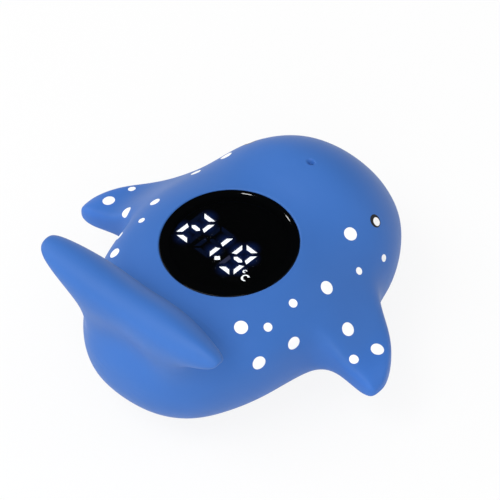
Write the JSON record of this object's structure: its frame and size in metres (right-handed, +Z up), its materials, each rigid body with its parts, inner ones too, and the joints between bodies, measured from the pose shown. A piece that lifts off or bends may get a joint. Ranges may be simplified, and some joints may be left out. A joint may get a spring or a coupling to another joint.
{
  "type": "baby bath thermometer",
  "caption": "Floating whale-shaped bath thermometer: soft blue skin with side fins and raised flukes, white dots, and a round black display with a lit readout over a sealed module",
  "frame": {"origin": "Middle of the footprint, on the surface the whale stands on", "axes": "+Y toward the whale's head, +Z up out of the back, +X toward the whale's right fin, across the symmetry plane"},
  "size_m": [0.103, 0.1, 0.05],
  "materials": {
    "blue_vinyl": "soft moulded vinyl, satin to matte, with white printed dots and ringed eyes",
    "smoked_lens": "black gloss, smoked, with a lit readout behind it",
    "black_foam": "matte foam ring",
    "blue_plastic": "fine satin moulding",
    "black_rubber": "matte seal rubber",
    "stainless_steel": "bright stainless",
    "black_case": "matte black reflector moulding",
    "white_resin": "translucent white light guide",
    "green_board": "solder mask",
    "black_resin": "drop of potting resin",
    "grey_sleeve": "shrink sleeve",
    "bead_resin": "dipped bead",
    "red_lead": "insulated wire",
    "blue_lead": "insulated wire"
  },
  "bodies": {
    "root": {"whale_skin": "blue_vinyl", "display_lens": "smoked_lens", "lens_gasket": "black_foam", "upper_case": "blue_plastic", "lower_case": "blue_plastic", "case_seal": "black_rubber", "case_screw_1": "stainless_steel", "case_screw_2": "stainless_steel", "case_screw_3": "stainless_steel", "digit_block": "black_case", "light_guide": "white_resin", "circuit_board": "green_board", "controller": "black_resin", "capacitor": "grey_sleeve", "probe_cap": "stainless_steel", "probe_seal": "black_rubber", "thermistor": "bead_resin", "thermistor_lead_1": "red_lead", "thermistor_lead_2": "red_lead", "water_contact_1": "stainless_steel", "water_contact_2": "stainless_steel", "contact_lead_1": "blue_lead", "contact_lead_2": "blue_lead", "coin_cell": "stainless_steel", "cell_spring": "stainless_steel", "cell_clip": "stainless_steel", "battery_door": "blue_plastic", "door_seal": "black_rubber"}
  },
  "joints": []
}
